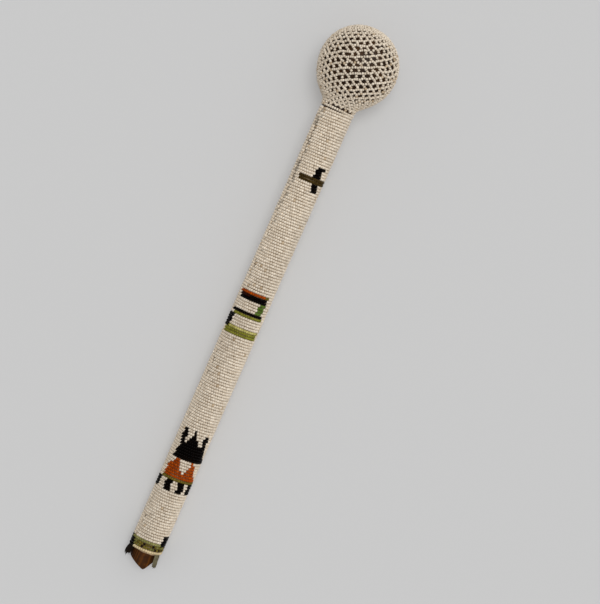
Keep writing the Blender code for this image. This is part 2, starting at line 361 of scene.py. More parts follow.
def makeWeaveGroup():
    # Threads over and under each other: one of two rows of ridges or the other, swapped in a chequer.
    inputs = {"Vector": ("Vector", None), "Threads": ("Float", 40.0)}
    group, given, result = newGroup("weave", inputs, {"Height": "Float"})
    parts = addNode(group, "SeparateXYZ", {0: given["Vector"]})
    waves = []
    for side in ("X", "Y"):
        turn = calculate(group, "MULTIPLY", parts[side], given["Threads"])
        waves.append(calculate(group, "SINE", calculate(group, "MULTIPLY", turn, math.pi)))
    over = spread(group, calculate(group, "MULTIPLY", *waves), -0.4, 0.4)
    first, second = (calculate(group, "ABSOLUTE", wave) for wave in waves)
    raised = calculate(group, "MULTIPLY", first, over)
    under = calculate(group, "SUBTRACT", 1.0, over)
    fill(group, result, {"Height": calculate(group, "MULTIPLY_ADD", second, under, raised)})
    return group


grimeGroup, fibreGroup, weaveGroup = makeGrimeGroup(), makeFibreGroup(), makeWeaveGroup()


def fibres(tree, place, scale, stretch):
    return addNode(tree, "Group", {"Vector": place, "Scale": scale, "Stretch": stretch}, node_tree=fibreGroup)


def grimed(tree, place, colour, grime, patches, scale, cover=0.0):
    # The colour with grime over it, and a mask of where the grime lies.
    sockets = {"Vector": place, "Colour": colour, "Grime": grime}
    sockets |= {"Patches": patches, "Scale": scale, "Cover": cover}
    return addNode(tree, "Group", sockets, node_tree=grimeGroup)


def objectPlace(tree):
    return addNode(tree, "TexCoord", {})["Object"]


def stickPlace(tree):
    # Object coordinates turned so that the third axis runs along the stick.
    turn = Matrix(ownAxes.tolist()).to_euler()
    return addNode(tree, "Mapping", {"Vector": objectPlace(tree), "Rotation": turn})[0]


def newMaterial(name, **constants):
    # A material with its Principled shader, whose plain values are set on its own sockets.
    material = bpy.data.materials.new(name)
    material.use_nodes = True
    tree = material.node_tree
    shader = tree.nodes["Principled BSDF"]
    fill(tree, shader, {label.replace("_", " "): value for label, value in constants.items()})
    return material, tree, shader


def setSurface(tree, shader, colour, height, strength, distance, **others):
    # The colour, the bump made from the height, and whatever else varies over the surface.
    bump = addNode(tree, "Bump", {"Height": height, "Strength": strength, "Distance": distance})[0]
    fill(tree, shader, {"Base Color": colour, "Normal": bump, **others})


def makeBeadGlass():
    # Opaque glass: each bead's own colour, dust and painted shade low between the beads, and a slightly worn
    # glaze.
    material, tree, shader = newMaterial("bead_glass", Specular_IOR_Level=0.04, IOR=1.5)
    place = objectPlace(tree)
    # Dust and painted shade: each bead is darkened on its inward side, low between the beads, by its own
    # amount.
    low = spread(tree, attribute(tree, "low"), 0.4, 0.95)
    lowShadeAndDust = calculate(tree, "MULTIPLY", low, attribute(tree, "shadeAndDust"))
    streaks = noise(tree, place, 900.0, 3.0)
    shade = spread(tree, streaks, 0.3, 0.7, 0.9, 1.08)
    tinted = mixColours(tree, 1.0, attribute(tree, "beadColour", "Color"), shade, "MULTIPLY")
    shadedAndDusty = mixColours(tree, 1.0, tinted, (0.6, 0.5, 0.38, 1.0), "MULTIPLY")
    grime = grimed(tree, place, tinted, shadedAndDusty, 0.12, 260.0, lowShadeAndDust)
    worn = spread(tree, grime["Mask"], 0.0, 1.0, 0.28, 0.7)
    setSurface(tree, shader, grime["Colour"], streaks, 0.12, 0.0002, Roughness=worn)
    return material


def makeThread(name, colour, dark):
    material, tree, shader = newMaterial(name, Roughness=0.85, Specular_IOR_Level=0.2)
    fibre = fibres(tree, objectPlace(tree), 2600.0, 0.6)
    mixed = mixColours(tree, fibre["Streak"], rgba(dark), rgba(colour))
    setSurface(tree, shader, mixed, fibre["Height"], 0.5, 0.0003)
    return material


def makeSewnThread():
    # Thread that shows between the beads, painted mostly like the glass on either side of it and darker in
    # streaks, as painted shade in the gaps.
    material, tree, shader = newMaterial("sewn_thread", Roughness=0.85, Specular_IOR_Level=0.04)
    fibre = fibres(tree, objectPlace(tree), 2600.0, 0.6)
    beside = attribute(tree, "beadColour", "Color")
    # The beads' colour made darker: painted shade on the thread between the beads.
    worn = mixColours(tree, 1.0, beside, (0.5, 0.4, 0.28, 1.0), "MULTIPLY")
    setSurface(tree, shader, mixColours(tree, fibre["Streak"], worn, beside), fibre["Height"], 0.4, 0.0002)
    return material


def makeHide():
    # Smoked hide: mottled brown, with pores and creases, painted near black under the black beads as painted
    # shade in their gaps.
    material, tree, shader = newMaterial("smoked_hide", Roughness=0.9, Specular_IOR_Level=0.08)
    place = stickPlace(tree)
    creases = fibres(tree, place, 500.0, 0.4)
    brown = mixColours(tree, creases["Streak"], rgba((140, 116, 88)), rgba((182, 158, 126)))
    # Painted shade: near black where the black figures lie, so that the gaps between their beads read dark.
    shadedUnderBlack = mixColours(tree, attribute(tree, "shadedUnderBlack"), brown, rgba((10, 6, 4)))
    grime = grimed(tree, place, shadedUnderBlack, rgba((70, 50, 34)), 0.45, 90.0)
    height = calculate(tree, "MULTIPLY_ADD", cells(tree, place, 1100.0), 0.6, creases["Height"])
    setSurface(tree, shader, grime["Colour"], height, 0.5, 0.0004)
    return material


def makeWood(name, light, dark, ringScale):
    # Split wood: rings about an axis beside the stick, streaks along it and dark stains.
    material, tree, shader = newMaterial(name, Specular_IOR_Level=0.15)
    place = stickPlace(tree)
    beside = addNode(tree, "VectorMath", {0: place, 1: (0.004, 0.011, 0.0)}, operation="ADD")[0]
    waves = {"Vector": beside, "Scale": ringScale, "Distortion": 2.5, "Detail": 3.0, "Detail Scale": 1.5}
    rings = addNode(tree, "TexWave", waves, wave_type="RINGS", rings_direction="Z")["Fac"]
    fibre = fibres(tree, place, 520.0, 0.06)
    grain = calculate(tree, "MULTIPLY", rings, fibre["Streak"])
    colour = mixColours(tree, grain, rgba(dark), rgba(light))
    grime = grimed(tree, place, colour, rgba((28, 17, 5)), 0.7, 130.0)
    height = calculate(tree, "MULTIPLY_ADD", rings, 0.35, fibre["Height"])
    rough = spread(tree, fibre["Streak"], 0.0, 1.0, 0.62, 0.82)
    setSurface(tree, shader, grime["Colour"], height, 0.7, 0.0005, Roughness=rough)
    return material


def makeCloth(name, colour, worn, threads):
    # Woven cloth on its own flat map, faded and dirty in patches.
    material, tree, shader = newMaterial(name, Roughness=0.92, Specular_IOR_Level=0.05)
    flat = addNode(tree, "UVMap", {}, uv_map="flatCloth")[0]
    place = objectPlace(tree)
    weave = addNode(tree, "Group", {"Vector": flat, "Threads": threads}, node_tree=weaveGroup)["Height"]
    fluff = noise(tree, place, 1500.0, 4.0)
    tone = spread(tree, calculate(tree, "MULTIPLY", weave, fluff), 0.05, 0.5)
    mixed = mixColours(tree, tone, rgba(worn), rgba(colour))
    grime = grimed(tree, place, mixed, rgba((24, 18, 11)), 0.45, 180.0)
    height = calculate(tree, "MULTIPLY_ADD", fluff, 0.5, weave)
    setSurface(tree, shader, grime["Colour"], height, 0.8, 0.0003)
    return material


def makeGourdSkin():
    # Smoked gourd: a dark waxy skin with paler blotches, pits and streaks from neck to crown.
    material, tree, shader = newMaterial("smoked_gourd", Specular_IOR_Level=0.2)
    place = stickPlace(tree)
    streaks = fibres(tree, place, 160.0, 0.35)
    blotches = noise(tree, place, 75.0, 6.0)
    base = mixColours(tree, streaks["Streak"], rgba((38, 21, 6)), rgba((68, 42, 15)))
    grime = grimed(tree, place, base, rgba((18, 10, 6)), 0.8, 60.0)
    pale = spread(tree, blotches, 0.6, 0.75, 0.0, 0.4)
    colour = mixColours(tree, pale, grime["Colour"], rgba((100, 68, 30)))
    height = calculate(tree, "MULTIPLY_ADD", cells(tree, place, 420.0), 0.4, streaks["Height"])
    waxy = spread(tree, blotches, 0.3, 0.7, 0.45, 0.7)
    setSurface(tree, shader, colour, height, 0.35, 0.0005, Roughness=waxy)
    return material


def makeLeather():
    material, tree, shader = newMaterial("washer_leather", Roughness=0.7)
    place = objectPlace(tree)
    tone = spread(tree, noise(tree, place, 240.0, 5.0), 0.35, 0.65)
    mixed = mixColours(tree, tone, rgba((58, 36, 20)), rgba((94, 62, 36)))
    grime = grimed(tree, place, mixed, rgba((28, 17, 9)), 0.5, 150.0)
    setSurface(tree, shader, grime["Colour"], cells(tree, place, 900.0), 0.5, 0.0003)
    return material


def makeSeedCoat():
    # A hard seed's coat: brown with dark flecks, and a pale scar where it grew.
    material, tree, shader = newMaterial("seed_coat", Coat_Weight=0.2, Coat_Roughness=0.3)
    flecks = noise(tree, objectPlace(tree), 1400.0, 4.0)
    coat = mixColours(tree, spread(tree, flecks, 0.42, 0.62), rgba((34, 20, 11)), rgba((104, 66, 36)))
    mixed = mixColours(tree, attribute(tree, "scar"), coat, rgba((168, 132, 88)))
    hard = spread(tree, flecks, 0.3, 0.7, 0.35, 0.6)
    setSurface(tree, shader, mixed, flecks, 0.4, 0.0003, Roughness=hard)
    return material


print("materials")
beadGlass = makeBeadGlass()
sewnThread = makeSewnThread()
beadThread = makeThread("bead_thread", (150, 128, 98), (84, 66, 46))
darkThread = makeThread("dark_thread", (58, 42, 28), (20, 13, 8))
hide = makeHide()
stickWood = makeWood("stick_wood", (100, 56, 6), (54, 27, 1), 260.0)
pegWood = makeWood("peg_wood", (140, 104, 62), (92, 62, 32), 420.0)
darkCloth = makeCloth("dark_cloth", (34, 24, 16), (14, 9, 5), 900.0)
greenCloth = makeCloth("green_cloth", (128, 121, 96), (76, 70, 50), 900.0)
gourdSkin = makeGourdSkin()
washerLeather = makeLeather()
seedCoat = makeSeedCoat()


beadShape = {
    "around": 8,  # corners round the hole
    "section": 6,  # corners round the glass from the outside to the hole and back
    "squareness": 0.55,  # 1 is a round section, less is squarer
    "hole": 0.34 * mm,  # hole's radius
}


def beadForm():
    # A rounded-square section carried round the hole's axis, the third coordinate; 1 across and 1 long.
    spin, turn = fullTurn(beadShape["around"]), fullTurn(beadShape["section"])
    out, up = (stretched(wave, beadShape["squareness"]) for wave in (np.cos(turn), np.sin(turn)))
    hole = beadShape["hole"] / (2 * mm)
    radial = (0.5 + hole) / 2 + (0.5 - hole) / 2 * out
    form = onStick(spin[:, None], radial, up / 2).reshape(-1, 3)
    return form, gridFaces(len(spin), len(turn), closedRows=True)


def makeBeads(name, beads, node):
    # One bead's form set at every place: its hole along the bead's own line, its outside away from the core.
    form, faces = beadForm()
    hole = unit(beads["hole"])
    outward = unit(beads["outward"] - hole * np.einsum("ij,ij->i", beads["outward"], hole)[:, None])
    turned = np.stack([outward, np.cross(hole, outward), hole], axis=1)
    scaled = form * np.stack([beads["across"], beads["across"], beads["long"]], axis=1)[:, None]
    points = beads["centre"][:, None] + np.einsum("nvk,nkx->nvx", scaled, turned)
    count = len(points)
    allFaces = (faces[None] + np.arange(count)[:, None, None] * len(form)).reshape(-1, 4)
    values = {
        "beadColour": np.repeat(beads["colour"], len(form), axis=0),
        # low: how far a point faces in, towards the hide; with the next value it sets the dust and painted
        # shade low between the beads.
        "low": np.tile(0.5 - form[:, 0], count),
        "shadeAndDust": np.repeat(beads["shadeAndDust"], len(form)),
    }
    makePiece(name, (points, [allFaces]), beadGlass, replaces=[node], values=values)


handle = {
    "beadsInRound": 43.37,
    "middleRadius": 12.96 * mm,
    "outerRadius": 14.0 * mm,
    "across": 2.2 * mm,
    "long": 1.97 * mm,
    "lean": math.radians(20),  # how far each bead's hole climbs to the right
    "figuresRight": 1.0,  # millimetres that the figures' middle stands to the right
    "sway": 0.12 * mm,  # how far the rounds wander along the stick
    "strays": (0.09 * mm, 0.05 * mm, 0.05 * mm),  # each bead, round the stick, along it and outwards
    "leanSpread": 0.07,
    "acrossSpread": (0.025, 0.92, 1.03),  # width of the spread, smallest and largest factor
    "longSpread": (0.05, 0.86, 1.1),
    "stainedShare": 0.018,
    "shade": 0.07,  # how much darker the darker stretches are
    "thread": 0.28 * mm,
}

seam = {  # along it the rounds start and end: beads sit lower or are missing, more so towards the neck
    "angle": math.radians(-55),
    "wander": 0.03,
    "opens": (248.6 * mm, 338.6 * mm),  # where it starts to open, and from where it is open
    "ends": 399.6 * mm,
    "lower": 0.15 * mm,
    "sunk": 0.75 * mm,
    "sunkShares": (0.16, 0.5),  # of its beads, everywhere and besides where it is open
    "sunkAcross": 0.72,
    "missingShare": 0.42,
    "shadedShare": 0.3,  # of the beads beside it
    "shade": 0.6,
}

glassColours = {  # screen colours out of 255, the lighter and the darker bead of each kind
    "white": ((232, 220, 202), (208, 194, 174)),
    "stained": ((206, 187, 160), (180, 158, 130)),
    "cream": ((222, 204, 164), (192, 172, 132)),
    "black": ((7, 3, 2), (3, 1, 1)),
    "orange": ((170, 74, 8), (132, 50, 2)),
    "olive": ((118, 104, 42), (84, 72, 24)),
    "foot": ((122, 118, 66), (84, 82, 36)),
    "footPale": ((150, 146, 92), (114, 112, 62)),
    "bar": ((70, 54, 20), (46, 34, 10)),
    "leaf": ((100, 124, 52), (72, 96, 28)),
    "moss": ((136, 134, 52), (108, 106, 34)),
    "yellow": ((196, 188, 118), (158, 150, 78)),
    "darkRed": ((58, 18, 8), (30, 8, 3)),
    "brown": ((40, 24, 12), (22, 13, 7)),
}


def oblong(left, right, low, high):
    return [(left, low), (right, low), (right, high), (left, high)]


# Outlines of the coloured figures. Across is millimetres to the right of the front's middle, up is in rounds
# above the named length's first one.
legs = [
    [(-16, 0), (-12.8, 0), (-12, 4), (-16, 4)],
    oblong(-8, -2.2, 0, 4),
    oblong(3.1, 8.5, 0, 4),
    oblong(10.6, 13, 0.2, 4),
]
skirt = [
    [(-12.2, 0), (-11.8, 2.5), (-10.6, 4.4), (-7.8, 5.8), (-5.9, 7), (-4.9, 7), (-3.6, 5.5), (2.2, 1.3)]
    + [(2.2, 0)],
    [(2.2, 0), (2.2, 1.3), (4.6, 3.4), (5.8, 5), (6.9, 7), (7.9, 7), (10.2, 4.5), (12.4, 1.5), (13.2, 0)],
]
crown = [
    [(-12, 0), (13.6, 0), (12.4, 2.6), (11.4, 5), (-9, 5), (-10, 2.4)],
    [(-5.8, 5), (-3.8, 7.2), (-1.2, 10), (-1, 12), (-0.2, 12), (0.8, 10), (2.6, 8.2), (8.6, 5)],
    [(-9.8, 5), (-10.7, 8.2), (-10.6, 11), (-6.6, 11), (-7.1, 7.2), (-6, 5)],
    [(8, 5), (7.9, 8.2), (8.6, 10.6), (11.6, 10.6), (10.8, 8), (11.4, 5)],
]
figures = [
    *[("figure_leg_rows", "black", outline) for outline in legs],
    ("figure_belt_row", "olive", oblong(-13, 13.4, 0, 1)),
    *[("figure_skirt_rows", "orange", outline) for outline in skirt],
    *[("figure_crown_rows", "black", outline) for outline in crown],
    ("key_green_rows", "moss", oblong(-13.9, 12.5, 0, 3)),
    ("key_green_rows", "yellow", oblong(-10.9, 11.7, 2, 3)),
    ("key_green_rows", "black", [(-16, 1.4), (-12.9, 2), (-11.3, 3), (-16, 3)]),
    ("key_lower_rows", "black", oblong(-16, -11.3, 0, 4)),
    ("key_olive_row", "moss", oblong(-12.9, 11.1, 0, 1)),
    ("key_black_row", "black", oblong(-13.9, 10.4, 0, 1)),
    ("key_upper_rows", "leaf", oblong(5.1, 9.8, 0, 4)),
    ("key_dark_rows", "black", oblong(-13.1, 9.6, 0, 2)),
    ("key_dark_rows", "darkRed", [(-13.1, 1), (-3.9, 1), (-5.4, 2), (-13.1, 2)]),
    ("key_orange_row", "orange", oblong(-13.3, 9.8, 0, 1)),
    ("key_orange_row", "olive", oblong(6.7, 9.8, 0, 1)),
    ("cross_lower_rows", "black", oblong(5.5, 10.1, 0, 3)),
    ("cross_bar_rows", "bar", oblong(-7.9, 14.5, 0, 2)),
    ("cross_upper_rows", "black", [(3.5, 0), (9.1, 0), (9.1, 3), (10.9, 3), (10.9, 4), (3.5, 4)]),
    ("edge_bead_row", "black", [(-16, -1), (-11, -1), (-11.8, 1), (-13.6, 2.6), (-14.6, 3.6), (-16, 3.8)]),
    ("foot_white_rows", "black", [(10.4, -0.8), (13, -0.8), (13, 2.8), (9.4, 2.8), (9.8, 1)]),
]


def inOutline(across, up, outline):
    # Even-odd rule: a point is inside when a line to its right crosses the outline an odd number of times.
    x, y = np.array(outline, float).T
    nextX, nextY = np.roll(x, -1), np.roll(y, -1)
    level = up[:, None]
    rise = np.where(nextY == y, 1.0, nextY - y)
    crosses = (y > level) != (nextY > level)
    meets = x + (level - y) / rise * (nextX - x)
    return (crosses & (across[:, None] < meets)).sum(axis=1) % 2 == 1


def insideFigures(angle, station):
    # For each figure in turn, its kind of glass and which places on the front of the handle lie inside it.
    across = handle["outerRadius"] / mm * np.sin(angle) - handle["figuresRight"]
    rise = (station - beadsStart) / roundPitch
    front = np.cos(angle) > -0.15
    for where, kind, outline in figures:
        yield kind, front & inOutline(across, rise - firstRound[where], outline)


def pickGlass(chance, kind, count):
    # Each bead's colour lies between the lighter and the darker one, with a little more or less light.
    lighter, darker = linear(glassColours[kind][0]), linear(glassColours[kind][1])
    share = chance.beta(1.6, 1.6, (count, 1))
    return (lighter + (darker - lighter) * share) * chance.normal(1.0, 0.035, (count, 1))


def recolour(chance, colour, kind, chosen):
    return np.where(chosen[:, None], pickGlass(chance, kind, len(colour)), colour)


def whiteGlass(chance, count, stainedShare):
    # White beads, with a stained one here and there.
    colour = pickGlass(chance, "white", count)
    return recolour(chance, colour, "stained", chance.random(count) < stainedShare)


def factors(chance, count, width, smallest, largest):
    return np.clip(chance.normal(1, width, count), smallest, largest)


def handleBeads():
    # One spiral from the butt to the neck: bead n stands at n times the spacing, climbing as it turns.
    chance = np.random.default_rng(11)
    count = int(rounds * handle["beadsInRound"])
    turns = (np.arange(count) + 0.5) / handle["beadsInRound"]
    level = np.floor(turns).astype(int)
    angle = (turns - level) * 2 * np.pi - np.pi
    station = beadsStart + roundPitch * turns
    waves = onStick(angle, 1.0, station / (22 * mm))
    station = station + handle["sway"] * unevenness(waves, 3)
    roundIt, alongIt, outOfIt = handle["strays"]
    angle = angle + chance.normal(0, roundIt, count) / handle["outerRadius"]
    station = station + chance.normal(0, alongIt, count)
    radius = handle["middleRadius"] + chance.normal(0, outOfIt, count)
    lean = handle["lean"] + chance.normal(0, handle["leanSpread"], count)
    across = handle["across"] * factors(chance, count, *handle["acrossSpread"])
    long = handle["long"] * factors(chance, count, *handle["longSpread"])

    # The foot has a pale top round, olive beads among the green, and brown specks, mostly lowest down.
    colour = whiteGlass(chance, count, handle["stainedShare"])
    colour *= 1 - handle["shade"] * np.clip(unevenness(waves * [1, 1, 0.6], 8), -1, 1)[:, None]
    footStart, footEnd = firstRound["foot_olive_rows"], firstRound["foot_white_rows"]
    foot = (level >= footStart) & (level < footEnd)
    top = level == footEnd - 1
    draw = chance.random(count)
    kinds = {
        "foot": foot,
        "footPale": top,
        "olive": foot & (draw < 0.35) & ~top,
        "brown": foot & ~top & (draw > np.where(level == footStart, 0.6, 0.86)),
        "cream": level < footStart,
    }
    for kind, chosen in (*kinds.items(), *insideFigures(angle, station)):
        colour = recolour(chance, colour, kind, chosen)

    wander = seam["angle"] + seam["wander"] * unevenness(station[:, None] / (30 * mm), 5)
    fromSeam = np.abs(angle - wander) * handle["beadsInRound"] / (2 * np.pi)
    opening = ramp(station, *seam["opens"]) * (station < seam["ends"])
    onSeam = (fromSeam < 0.5) & (level > footEnd)
    sunk = onSeam & (chance.random(count) < seam["sunkShares"][0] + seam["sunkShares"][1] * opening)
    radius = radius - np.where(onSeam, seam["lower"], 0) - np.where(sunk, seam["sunk"], 0)
    across = across * np.where(sunk, seam["sunkAcross"], 1)
    colour = recolour(chance, colour, "brown", sunk)
    beside = (fromSeam >= 0.5) & (fromSeam < 1.5) & (chance.random(count) < seam["shadedShare"] * opening)
    colour = colour * np.where(beside, seam["shade"], 1)[:, None]
    keep = ~(onSeam & (chance.random(count) < seam["missingShare"] * opening))

    beads = {
        "centre": onStick(angle, radius, station),
        "hole": aroundStick(angle) * np.cos(lean)[:, None] + np.array([0, 0, 1]) * np.sin(lean)[:, None],
        "outward": onStick(angle, 1.0, 0.0),
        "across": across,
        "long": long,
        "colour": colour,
        # How much dust and painted shade lies low between the beads, uneven along the handle.
        "shadeAndDust": np.clip(0.75 + 0.2 * unevenness(waves, 9), 0.3, 1),
        "level": level,
    }
    return {label: data[keep] for label, data in beads.items()}


print("handle beads")
allBeads = handleBeads()
for node, count in lengths.items():
    inLength = (allBeads["level"] >= firstRound[node]) & (allBeads["level"] < firstRound[node] + count)
    makeBeads(node.replace("row", "bead"), {key: data[inLength] for key, data in allBeads.items()}, node)


def sewingThread():
    # In at one end of each bead's hole and out at the other, on to the next bead, as one long path.
    sides = 3
    reach = allBeads["hole"] * allBeads["long"][:, None] * 0.5
    path = np.stack([allBeads["centre"] - reach, allBeads["centre"] + reach], axis=1).reshape(1, -1, 3)
    outward = np.repeat(allBeads["outward"], 2, axis=0)[None]
    # The thread takes the colour of its beads: painted shade in the gaps between them.
    values = {"beadColour": np.repeat(allBeads["colour"], 2 * sides, axis=0)}
    thread = tubes(path, outward, handle["thread"], sides)
    makePiece("sewing_thread", thread, sewnThread, values=values)


sewingThread()


sleeve = {
    "inner": 10.55 * mm,
    "thickness": 1.15 * mm,
    "start": 14.5 * mm,
    "end": 398.2 * mm,
    "seamWidth": 1.8 * mm,
    "rows": 420,
    "columns": 97,
    "waves": 0.35 * mm,  # in its lower edge
    "thinner": (0.93, 0.05),  # than its full thickness, everywhere and in its creases
}

stitches = {
    "from": 2.0 * mm,  # above the sleeve's start, and as far below its end
    "reach": 1.5 * mm,  # to each side of the seam
    "rise": (0.1 * mm, 0.25 * mm),  # above the hide, in the seam and over its edges
    "thread": 0.3 * mm,
    "steps": 4,  # points in each half stitch
}


def hideSleeve():
    # A sheet of hide bent round the stick, open along the seam, with a wavy lower edge and shallow creases.
    middle = sleeve["inner"] + sleeve["thickness"] / 2
    half = sleeve["seamWidth"] / 2 / middle
    angle = np.linspace(seam["angle"] + half, seam["angle"] + 2 * np.pi - half, sleeve["columns"])[None, :]
    share = np.linspace(0, 1, sleeve["rows"])[:, None]
    turns = np.stack([4 * np.cos(angle), 4 * np.sin(angle)], axis=-1)
    start = sleeve["start"] + sleeve["waves"] * unevenness(turns, 21)
    station = start + share * (sleeve["end"] - start)
    angle = np.broadcast_to(angle, station.shape)
    creases = np.clip(unevenness(onStick(angle, 3, station / (6 * mm)), 22), 0, 1.2)
    thickness = sleeve["thickness"] * (sleeve["thinner"][0] - sleeve["thinner"][1] * creases)
    sheet = thickSheet(onStick(angle, middle, station), onStick(angle, 1.0, 0.0), thickness)
    kinds = insideFigures(angle.ravel(), station.ravel())
    # Where the black figures lie, the hide is painted near black: painted shade in the gaps between their
    # beads.
    shadeUnderBlack = np.any([inside for kind, inside in kinds if kind == "black"], axis=0)
    values = {"shadedUnderBlack": np.concatenate([shadeUnderBlack, shadeUnderBlack])}
    piece = makePiece("hide_sleeve", sheet, hide, replaces=["backing_sleeve"], values=values, sharp=50)


def seamStitches():
    # A dark thread laced from side to side across the seam, a zigzag that rides over the edges of the hide.
    halves = 2 * int((sleeve["end"] - sleeve["start"] - 2 * stitches["from"]) / roundPitch)
    half = np.arange(halves * stitches["steps"]) / stitches["steps"]
    station = sleeve["start"] + stitches["from"] + half * roundPitch / 2
    swing = stretched(np.sin(half * math.pi), 0.8)
    angle = seam["angle"] + swing * stitches["reach"] / sleeve["inner"]
    low, more = stitches["rise"]
    radius = sleeve["inner"] + sleeve["thickness"] + low + more * np.abs(swing)
    thread = windingThread(angle, radius, station, stitches["thread"], 6)
    makePiece("seam_stitches", thread, darkThread, replaces=["seam_thread"])


print("sleeve and seam")
hideSleeve()
seamStitches()


stick = {
    "radius": 10.25 * mm,
    "shoulder": 398.2 * mm,
    "tenon": 8.6 * mm,
    "tenonEnd": 411.6 * mm,
    "ridge": 5.0 * mm,  # the wedge's ridge stands this far to the right of the axis
    "longChop": math.radians(27),
    "shortChop": math.radians(54),
    "wornEdge": 0.55 * mm,
    "bluntRidge": 0.8 * mm,
    "toolMarks": (0.16 * mm, 0.05 * mm),  # shallow scoops, and finer marks in them
    "bevel": 1.0 * mm,
    "whittled": (0.012, 0.01),  # how much thinner the wood is, everywhere and besides in its flats
    "columns": 120,
}


def choppedEnd(side, up):
    # How far the wood lies behind the tip: two flat chops that meet at the ridge, with shallow tool marks.
    behind = np.where(
        side < stick["ridge"],
        (stick["ridge"] - side) * math.tan(stick["longChop"]),
        (side - stick["ridge"]) * math.tan(stick["shortChop"]),
    )
    behind = np.hypot(behind, stick["bluntRidge"])
    spots = np.stack([side / (2.2 * mm), up / (5 * mm)], axis=-1)
    scoops, finer = stick["toolMarks"]
    return behind + scoops * unevenness(spots, 31) + finer * unevenness(spots * [5, 2], 32)


def woodenStick():
    # The outline is carried round the axis; its first stretch is bent to the chopped end of the wood.
    radius, worn, shoulder = stick["radius"], stick["wornEdge"], stick["shoulder"]
    flat = np.linspace(0, 1, 40)[1:] ** 0.8 * (radius - worn)
    curl = np.linspace(0, np.pi / 2, 6)[1:]
    edge = np.column_stack([radius - worn + worn * np.sin(curl), worn * (1 - np.cos(curl))])
    side = np.concatenate([np.geomspace(1.5, 40, 30) * mm, np.linspace(45 * mm, shoulder, 60)[:-1]])
    tenon, tip, bevel = stick["tenon"], stick["tenonEnd"], stick["bevel"]
    outline = np.array(
        [(0, 0)]
        + [(r, 0) for r in flat]
        + edge.tolist()
        + [(radius, s) for s in side]
        + [(radius - 0.1 * mm, shoulder - 0.1 * mm), (radius - 0.3 * mm, shoulder)]
        + [(tenon + 0.1 * mm, shoulder), (tenon, shoulder + 0.1 * mm)]
        + [(tenon, shoulder + s * mm) for s in (2, 4, 6, 8, 10)]
        + [(tenon, tip - bevel), (tenon - bevel, tip), (tenon / 2, tip), (0, tip)]
    )

    def bend(grid):
        share = np.clip(1 - grid[..., 2] / (25 * mm), 0, 1)
        behind = choppedEnd(grid[..., 1], grid[..., 0])
        grid[..., 2] = grid[..., 2] + behind * share
        angle = np.arctan2(grid[..., 1], grid[..., 0])
        flats = np.clip(unevenness(onStick(angle, 9, grid[..., 2] / (30 * mm)), 33), -1, 1)
        skin = ramp(np.hypot(grid[..., 0], grid[..., 1]), 9 * mm, 10.2 * mm) * (grid[..., 2] < shoulder)
        grid[..., :2] *= (1 - (stick["whittled"][0] + stick["whittled"][1] * flats) * skin)[..., None]
        return grid

    points, faces = turnedSurface(outline, stick["columns"], bend)
    points[-2, 2] = choppedEnd(np.zeros(1), np.zeros(1))[0]
    makePiece("whittled_stick", (points, faces), stickWood, replaces=["stick"], sharp=38)


print("stick")
woodenStick()


tabs = {
    "dark_tab": {
        "node": "butt_black_tab",
        "angles": (-128, -46),
        "stations": (6.6 * mm, 17.8 * mm),  # the free edge, and the top edge, which is tucked under the beads
        "radii": (11.85 * mm, 14.3 * mm),  # at the top edge and at the free edge
        "thickness": 0.85 * mm,
        "material": darkCloth,
        "seed": 41,
        "flat": (18.6 * mm, 11.2 * mm),
        "fibres": 70,
    },
    "green_tab": {
        "node": "butt_green_tab",
        "angles": (50, 108),
        "stations": (4.4 * mm, 16.4 * mm),
        "radii": (11.85 * mm, 13.5 * mm),
        "thickness": 0.7 * mm,
        "material": greenCloth,
        "seed": 42,
        "flat": (12.9 * mm, 12.0 * mm),
        "fibres": 55,
    },
}


cloth = {
    "rows": 33,
    "columns": 61,
    "ragged": 0.5 * mm,
    "rounded": 1.6 * mm,  # how far the free edge draws back at its corners
    "swell": 0.7 * mm,
    "folds": 0.28 * mm,
    "fibreLengths": (0.6 * mm, 1.9 * mm),
    "fibre": 0.085 * mm,
}


def clothTab(name, tab):
    # A small sheet from under the first round of beads: it swells in soft folds and its edge is ragged.
    across = np.linspace(0, 1, cloth["columns"])[None, :]
    down = np.linspace(0, 1, cloth["rows"])[:, None]
    left, right = tab["angles"]
    bottom, top = tab["stations"]
    angle = np.radians(left + (right - left) * across)
    ragged = cloth["ragged"] * (1 + unevenness(np.stack([across * 19, across * 0], -1), tab["seed"]))
    low = bottom + ragged + cloth["rounded"] * np.abs(2 * across - 1) ** 3
    station = top + (low - top) * down
    angle = angle + 0.05 * unevenness(np.stack([down * 5, down * 0], -1), tab["seed"] + 1)
    folds = unevenness(np.stack(np.broadcast_arrays(across * 9, down * 3), -1), tab["seed"] + 2)
    free = 1 - ramp(station, beadsStart - 2.4 * mm, beadsStart + 0.2 * mm)
    flare = (1 - ramp(station, bottom, beadsStart)) ** 0.8
    inner, outer = tab["radii"]
    radius = inner + (cloth["swell"] + cloth["folds"] * folds) * free
    radius = radius + (outer - inner - cloth["swell"]) * flare
    thin = (0.25 + 0.75 * free) * (1 - 0.45 * np.maximum(np.abs(2 * across - 1) ** 6, down**8))
    angle, radius, station, thin = np.broadcast_arrays(angle, radius, station, thin)
    middle, outward = onStick(angle, radius, station), onStick(angle, 1.0, 0.0)
    sheet = thickSheet(middle, outward, tab["thickness"] * thin)
    flat = np.stack(np.broadcast_arrays(across * tab["flat"][0], down * tab["flat"][1]), -1).reshape(-1, 2)
    uv = np.concatenate([flat, flat])
    piece = makePiece(name, sheet, tab["material"], replaces=[tab["node"]], uv=uv, sharp=60)
    fringe = clothFibres(name + "_fibres", tab, middle, outward)


